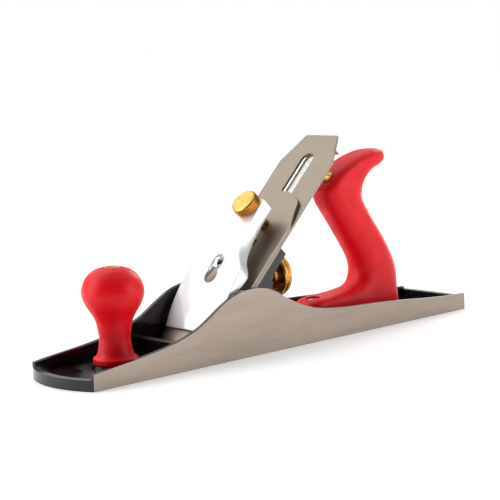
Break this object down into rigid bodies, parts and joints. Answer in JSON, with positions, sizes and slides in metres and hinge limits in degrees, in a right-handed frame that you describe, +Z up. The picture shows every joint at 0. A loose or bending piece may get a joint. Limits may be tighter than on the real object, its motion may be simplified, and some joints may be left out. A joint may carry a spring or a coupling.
{
  "type": "hand plane",
  "caption": "Iron bench plane with red knob and tote, chromed lever cap, slotted iron on a sliding frog, brass depth wheel and lateral lever.",
  "frame": {"origin": "on the sole's bottom face, on its centre line, midway between the ends of the cheeks", "axes": "+X from toe to heel along the sole, +Y towards the right cheek, +Z up from the sole's bottom"},
  "size_m": [0.365, 0.0636, 0.1393],
  "materials": {
    "black_paint": "black japan gloss over cast iron",
    "ground_iron": "surface ground, fine lines along the length",
    "red_lacquer": "smooth red lacquer, semi gloss",
    "brass": "turned and knurled brass",
    "tool_steel": "satin ground tool steel",
    "chrome": "mirror chrome",
    "bright_steel": "bright zinc plated steel"
  },
  "bodies": {
    "plane_body": {"sole": "black_paint", "front_knob": "red_lacquer", "knob_rod": "bright_steel", "knob_nut": "brass", "tote": "red_lacquer", "tote_rod": "bright_steel", "tote_nut": "brass", "tote_toe_screw": "bright_steel", "frog_screws": "bright_steel", "frog_washers": "bright_steel"},
    "frog": {"frog": "black_paint", "frog_clip": "bright_steel", "frog_clip_screw": "bright_steel", "adjusting_stud": "bright_steel", "lever_cap_screw": "chrome", "yoke_pin": "bright_steel", "lateral_rivet": "bright_steel"},
    "frog_adjusting_screw": {"frog_adjusting_screw": "bright_steel"},
    "wheel_sleeve": {"wheel_thread_sleeve": "brass"},
    "depth_wheel": {"depth_wheel": "brass"},
    "yoke": {"adjusting_yoke": "bright_steel"},
    "lateral_lever": {"lateral_lever": "bright_steel"},
    "lateral_roller": {"lateral_roller": "bright_steel"},
    "cutter": {"plane_iron": "tool_steel", "cap_iron": "tool_steel", "cap_iron_screw": "bright_steel"},
    "lever_cap": {"lever_cap": "chrome"},
    "thumbscrew_pad": {"thumbscrew_pad": "brass"},
    "thumbscrew": {"thumbscrew": "brass"}
  },
  "joints": [
    {"name": "frog_slide", "type": "slide", "parent": "plane_body", "child": "frog", "axis": [1, 0, 0], "range_m": [-0.0016, 0.0021]},
    {"name": "frog_screw_turn", "type": "hinge", "parent": "frog", "child": "frog_adjusting_screw", "pos_m": [-0.01, 0, 0.015], "axis": [1, 0, 0], "range_deg": [-590, 770]},
    {"name": "wheel_travel", "type": "slide", "parent": "frog", "child": "wheel_sleeve", "axis": [1, 0, 0], "range_m": [-0.00175, 0.0021]},
    {"name": "wheel_spin", "type": "hinge", "parent": "wheel_sleeve", "child": "depth_wheel", "pos_m": [0.001, 0, 0.0452], "axis": [1, 0, 0], "range_deg": [-700, 585]},
    {"name": "yoke_swing", "type": "hinge", "parent": "frog", "child": "yoke", "pos_m": [-0.00417, 0, 0.0594], "axis": [0, 1, 0], "range_deg": [-7.6, 6.3]},
    {"name": "iron_skew", "type": "hinge", "parent": "frog", "child": "lateral_roller", "pos_m": [-0.03358, 0, 0.04837], "axis": [-0.7071, 0, 0.7071], "range_deg": [-1.3, 1.3]},
    {"name": "iron_depth", "type": "slide", "parent": "lateral_roller", "child": "cutter", "axis": [0.7071, 0, 0.7071], "range_m": [-0.0018, 0.0015]},
    {"name": "lateral_lever_swing", "type": "hinge", "parent": "frog", "child": "lateral_lever", "pos_m": [0.00269, 0, 0.08012], "axis": [-0.7071, 0, 0.7071], "range_deg": [-4.8, 4.8]},
    {"name": "lever_cap_slide", "type": "slide", "parent": "frog", "child": "lever_cap", "axis": [0.7071, 0, 0.7071], "range_m": [0, 0.0114]},
    {"name": "pad_travel", "type": "slide", "parent": "lever_cap", "child": "thumbscrew_pad", "axis": [-0.7071, 0, 0.7071], "range_m": [0, 0.0021]},
    {"name": "thumbscrew_turn", "type": "hinge", "parent": "thumbscrew_pad", "child": "thumbscrew", "pos_m": [-0.01619, 0, 0.09405], "axis": [-0.7071, 0, 0.7071], "range_deg": [0, 770]}
  ],
  "couplings": [
    {"joint": "frog_screw_turn", "follows": "frog_slide", "rad_per_m": 6283.2},
    {"joint": "wheel_travel", "follows": "iron_depth", "ratio": -1},
    {"joint": "wheel_spin", "follows": "iron_depth", "rad_per_m": 5938.7},
    {"joint": "yoke_swing", "follows": "iron_depth", "rad_per_m": 70.423},
    {"joint": "lateral_lever_swing", "follows": "iron_skew", "ratio": -3.581},
    {"joint": "thumbscrew_turn", "follows": "pad_travel", "rad_per_m": 6283.2}
  ]
}
